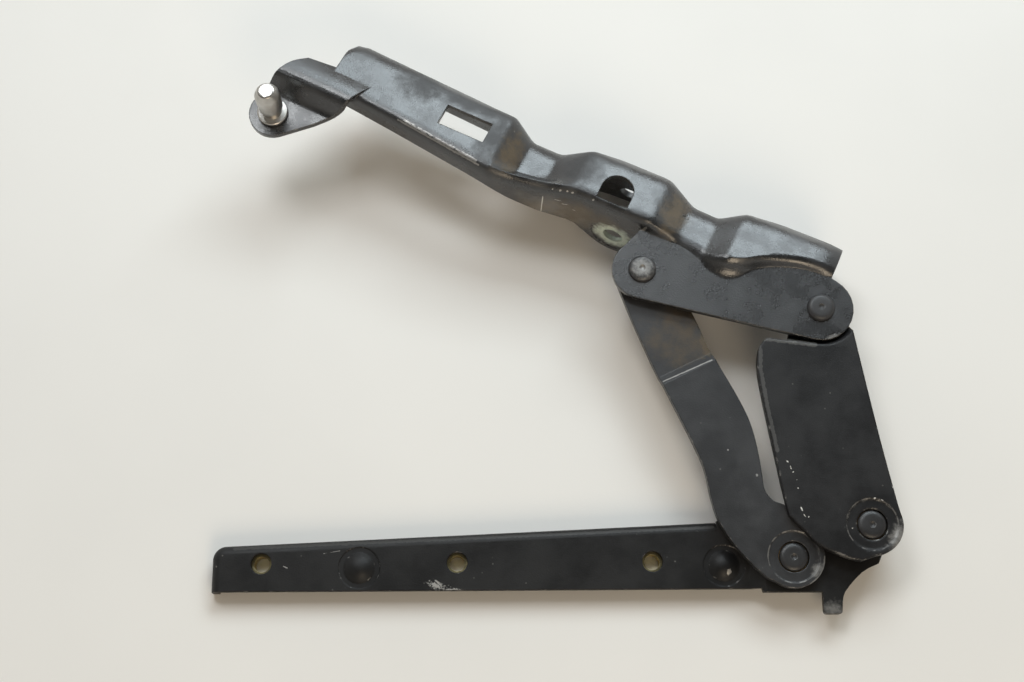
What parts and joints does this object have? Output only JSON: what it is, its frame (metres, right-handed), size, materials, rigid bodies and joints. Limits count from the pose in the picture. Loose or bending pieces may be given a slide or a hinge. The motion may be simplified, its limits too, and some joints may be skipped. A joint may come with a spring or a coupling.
{
  "type": "car bonnet hinge",
  "caption": "Four-bar car bonnet hinge: long body bracket with weld nuts, two flat links and a pressed bonnet arm with a stay stud, all on riveted pivots.",
  "frame": {"origin": "on the middle body bolt's axis at the bracket's back face, where its weld nut begins", "axes": "+X along the body bracket towards the links, +Y up from the bracket towards the bonnet, +Z along the pivot axes towards the outer side"},
  "size_m": [0.2986, 0.2666, 0.0674],
  "materials": {
    "black_coat": "satin black coat, worn at the edges",
    "link_coat": "satin black coat, worn at the edges",
    "arm_coat": "satin black coat, worn at the folds",
    "rivet_coat": "satin black coat, rubbed bright at the rims",
    "bright_zinc": "bright zinc plate",
    "yellow_zinc": "yellow zinc plate",
    "bearing_bronze": "greased bronze",
    "washer_steel": "greased steel"
  },
  "bodies": {
    "body_bracket": {"body_bracket": "black_coat", "left_weld_nut": "yellow_zinc", "middle_weld_nut": "yellow_zinc", "right_weld_nut": "yellow_zinc", "front_lower_rivet": "rivet_coat", "rear_lower_rivet": "rivet_coat", "front_lower_washer": "washer_steel", "rear_lower_spacer": "washer_steel"},
    "rear_link": {"rear_link": "link_coat", "rear_lower_bush": "bearing_bronze", "rear_upper_bush": "bearing_bronze"},
    "front_link": {"front_link": "link_coat", "front_lower_bush": "bearing_bronze"},
    "bonnet_arm": {"bonnet_arm": "arm_coat", "stay_stud": "bright_zinc", "front_upper_rivet": "rivet_coat", "rear_upper_rivet": "rivet_coat", "front_upper_bush": "bearing_bronze", "front_upper_washer": "washer_steel", "rear_upper_washer": "washer_steel"}
  },
  "joints": [
    {"name": "rear_link_pivot", "type": "hinge", "parent": "body_bracket", "child": "rear_link", "pos_m": [0.1787, 0.0136, 0.0145], "axis": [0, 0, 1], "range_deg": [0, 47]},
    {"name": "front_link_pivot", "type": "hinge", "parent": "body_bracket", "child": "front_link", "pos_m": [0.145, 0.0005, 0.0101], "axis": [0, 0, 1], "range_deg": [0, 39.3]},
    {"name": "arm_pivot", "type": "hinge", "parent": "rear_link", "child": "bonnet_arm", "pos_m": [0.16273, 0.1111, 0.0076], "axis": [0, 0, 1], "range_deg": [-28.5, 0]}
  ],
  "couplings": [
    {"joint": "front_link_pivot", "follows": "rear_link_pivot", "ratio": 0.835},
    {"joint": "arm_pivot", "follows": "rear_link_pivot", "ratio": -0.6045}
  ]
}
